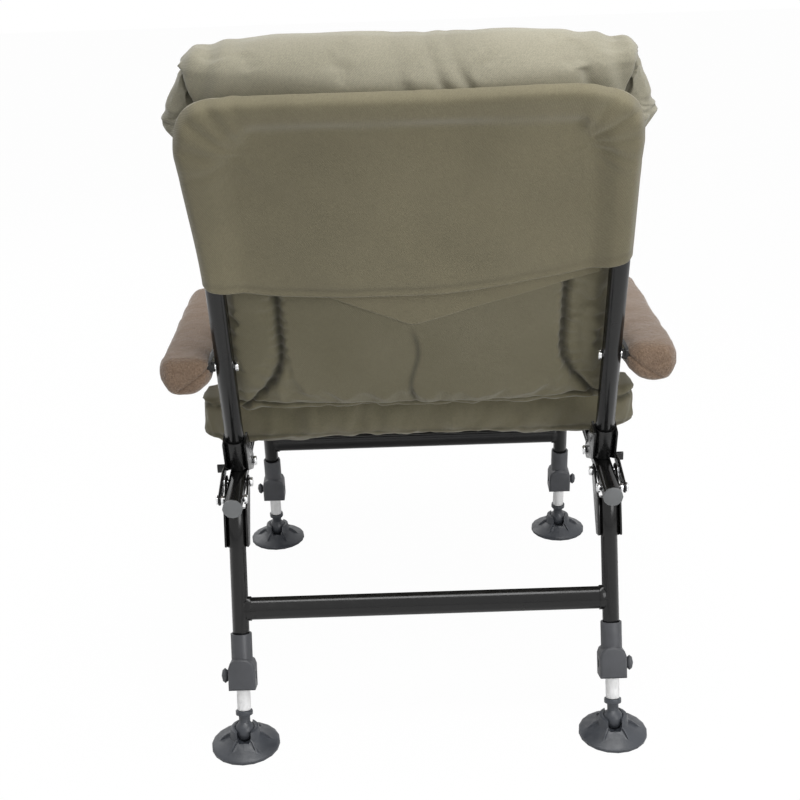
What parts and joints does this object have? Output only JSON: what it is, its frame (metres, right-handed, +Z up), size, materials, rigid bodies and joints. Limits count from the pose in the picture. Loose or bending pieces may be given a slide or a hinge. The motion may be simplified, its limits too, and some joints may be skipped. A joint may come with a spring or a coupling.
{
  "type": "folding fishing chair",
  "caption": "Low folding fishing chair with padded seat and reclined back, rolled headrest, padded arms and telescopic legs on ball-jointed mud feet.",
  "frame": {"origin": "centre of the bounding box's base, on the ground under the middle of the chair", "axes": "+X to the sitter's right, +Y forward in the direction the sitter faces, +Z up"},
  "size_m": [0.651, 0.6716, 0.8987],
  "materials": {
    "black_tube": "gloss black powder coat",
    "black_bracket": "satin black powder coat",
    "bright_bolt": "polished",
    "grey_cap": "satin",
    "seat_cloth": "woven support cloth",
    "cushion_cloth": "brushed polyester, quilted",
    "hood_cloth": "coarse olive polyester",
    "pillow_cloth": "soft brushed polyester",
    "brown_fleece": "brown fleece",
    "grey_collar": "moulded, fine grain",
    "white_tube": "satin white",
    "foot_plastic": "moulded, slight sheen"
  },
  "bodies": {
    "seat": {"seat_frame": "black_tube", "seat_tube_cap_left": "grey_cap", "seat_tube_cap_right": "grey_cap", "rear_leg_bolt_left": "bright_bolt", "rear_leg_bolt_right": "bright_bolt", "back_pivot_bolt_left": "bright_bolt", "back_pivot_bolt_right": "bright_bolt", "front_leg_bolt_left": "bright_bolt", "front_leg_bolt_right": "bright_bolt", "lever_bolt_left": "bright_bolt", "lever_bolt_right": "bright_bolt", "strut_bolt_left": "bright_bolt", "strut_bolt_right": "bright_bolt", "seat_deck": "seat_cloth", "seat_cushion": "cushion_cloth"},
    "back": {"back_frame": "black_tube", "back_bracket_left": "black_bracket", "back_bracket_right": "black_bracket", "arm_rear_bolt_left": "bright_bolt", "arm_rear_bolt_right": "bright_bolt", "back_cushion": "cushion_cloth", "headrest_pillow": "pillow_cloth", "hood": "hood_cloth", "hood_flap": "hood_cloth"},
    "rear_legs": {"rear_leg_frame": "black_tube", "leg_collar_rear_left": "grey_collar", "leg_collar_rear_right": "grey_collar"},
    "front_legs": {"front_leg_frame": "black_tube", "leg_collar_front_left": "grey_collar", "leg_collar_front_right": "grey_collar"},
    "lever_left": {"lock_lever_left": "black_bracket"},
    "arm_left": {"arm_bar_left": "black_bracket", "arm_pad_left": "brown_fleece", "arm_front_bolt_left": "bright_bolt"},
    "strut_left": {"arm_strut_left": "black_bracket"},
    "lever_right": {"lock_lever_right": "black_bracket"},
    "arm_right": {"arm_bar_right": "black_bracket", "arm_pad_right": "brown_fleece", "arm_front_bolt_right": "bright_bolt"},
    "strut_right": {"arm_strut_right": "black_bracket"},
    "leg_rear_left": {"inner_leg_rear_left": "white_tube", "ball_plug_rear_left": "foot_plastic"},
    "foot_rear_left": {"mud_foot_rear_left": "foot_plastic"},
    "screw_rear_left": {"thumb_screw_rear_left": "grey_collar"},
    "leg_rear_right": {"inner_leg_rear_right": "white_tube", "ball_plug_rear_right": "foot_plastic"},
    "foot_rear_right": {"mud_foot_rear_right": "foot_plastic"},
    "screw_rear_right": {"thumb_screw_rear_right": "grey_collar"},
    "leg_front_left": {"inner_leg_front_left": "white_tube", "ball_plug_front_left": "foot_plastic"},
    "foot_front_left": {"mud_foot_front_left": "foot_plastic"},
    "screw_front_left": {"thumb_screw_front_left": "grey_collar"},
    "leg_front_right": {"inner_leg_front_right": "white_tube", "ball_plug_front_right": "foot_plastic"},
    "foot_front_right": {"mud_foot_front_right": "foot_plastic"},
    "screw_front_right": {"thumb_screw_front_right": "grey_collar"}
  },
  "joints": [
    {"name": "back_fold", "type": "hinge", "parent": "seat", "child": "back", "pos_m": [0, -0.10287, 0.32686], "axis": [-1, 0, 0], "range_deg": [0, 95], "deforming": ["seat_cushion", "back_cushion"]},
    {"name": "rear_leg_fold", "type": "hinge", "parent": "seat", "child": "rear_legs", "pos_m": [0, -0.16276, 0.3232], "axis": [1, 0, 0], "range_deg": [0, 100]},
    {"name": "front_leg_fold", "type": "hinge", "parent": "seat", "child": "front_legs", "pos_m": [0, 0.2335, 0.34744], "axis": [1, 0, 0], "range_deg": [-80, 0]},
    {"name": "lever_left_press", "type": "hinge", "parent": "seat", "child": "lever_left", "pos_m": [-0.2618, -0.20867, 0.32039], "axis": [1, 0, 0], "range_deg": [0, 20], "stiffness_Nm_per_rad": 0.4, "springref_deg": -8.59},
    {"name": "arm_left_fold", "type": "hinge", "parent": "back", "child": "arm_left", "pos_m": [-0.2637, -0.18711, 0.4959], "axis": [-1, 0, 0], "range_deg": [-95, 0]},
    {"name": "strut_left_fold", "type": "hinge", "parent": "seat", "child": "strut_left", "pos_m": [-0.2734, 0.19113, 0.32686], "axis": [-1, 0, 0], "range_deg": [0, 95]},
    {"name": "lever_right_press", "type": "hinge", "parent": "seat", "child": "lever_right", "pos_m": [0.2618, -0.20867, 0.32039], "axis": [1, 0, 0], "range_deg": [0, 20], "stiffness_Nm_per_rad": 0.4, "springref_deg": -8.59},
    {"name": "arm_right_fold", "type": "hinge", "parent": "back", "child": "arm_right", "pos_m": [0.2637, -0.18711, 0.4959], "axis": [-1, 0, 0], "range_deg": [-95, 0]},
    {"name": "strut_right_fold", "type": "hinge", "parent": "seat", "child": "strut_right", "pos_m": [0.2734, 0.19113, 0.32686], "axis": [-1, 0, 0], "range_deg": [0, 95]},
    {"name": "leg_rear_left_slide", "type": "slide", "parent": "rear_legs", "child": "leg_rear_left", "axis": [0, 0.314, 0.9494], "range_m": [-0.09, 0.02]},
    {"name": "foot_rear_left_tilt", "type": "hinge", "parent": "leg_rear_left", "child": "foot_rear_left", "pos_m": [-0.243, -0.29081, 0.022], "axis": [1, 0, 0], "range_deg": [-15, 15]},
    {"name": "screw_rear_left_turn", "type": "hinge", "parent": "rear_legs", "child": "screw_rear_left", "pos_m": [-0.266, -0.26752, 0.09242], "axis": [1, 0, 0], "range_deg": [-180, 180]},
    {"name": "leg_rear_right_slide", "type": "slide", "parent": "rear_legs", "child": "leg_rear_right", "axis": [0, 0.314, 0.9494], "range_m": [-0.09, 0.02]},
    {"name": "foot_rear_right_tilt", "type": "hinge", "parent": "leg_rear_right", "child": "foot_rear_right", "pos_m": [0.243, -0.29081, 0.022], "axis": [1, 0, 0], "range_deg": [-15, 15]},
    {"name": "screw_rear_right_turn", "type": "hinge", "parent": "rear_legs", "child": "screw_rear_right", "pos_m": [0.266, -0.26752, 0.09242], "axis": [1, 0, 0], "range_deg": [-180, 180]},
    {"name": "leg_front_left_slide", "type": "slide", "parent": "front_legs", "child": "leg_front_left", "axis": [0, 0.0924, -0.9957], "range_m": [-0.02, 0.09]},
    {"name": "foot_front_left_tilt", "type": "hinge", "parent": "leg_front_left", "child": "foot_front_left", "pos_m": [-0.243, 0.29081, 0.022], "axis": [1, 0, 0], "range_deg": [-15, 15]},
    {"name": "screw_front_left_turn", "type": "hinge", "parent": "front_legs", "child": "screw_front_left", "pos_m": [-0.266, 0.28366, 0.09901], "axis": [1, 0, 0], "range_deg": [-180, 180]},
    {"name": "leg_front_right_slide", "type": "slide", "parent": "front_legs", "child": "leg_front_right", "axis": [0, 0.0924, -0.9957], "range_m": [-0.02, 0.09]},
    {"name": "foot_front_right_tilt", "type": "hinge", "parent": "leg_front_right", "child": "foot_front_right", "pos_m": [0.243, 0.29081, 0.022], "axis": [1, 0, 0], "range_deg": [-15, 15]},
    {"name": "screw_front_right_turn", "type": "hinge", "parent": "front_legs", "child": "screw_front_right", "pos_m": [0.266, 0.28366, 0.09901], "axis": [1, 0, 0], "range_deg": [-180, 180]}
  ],
  "couplings": [
    {"joint": "arm_left_fold", "follows": "back_fold", "ratio": -1},
    {"joint": "strut_left_fold", "follows": "back_fold", "ratio": 1},
    {"joint": "arm_right_fold", "follows": "back_fold", "ratio": -1},
    {"joint": "strut_right_fold", "follows": "back_fold", "ratio": 1}
  ]
}
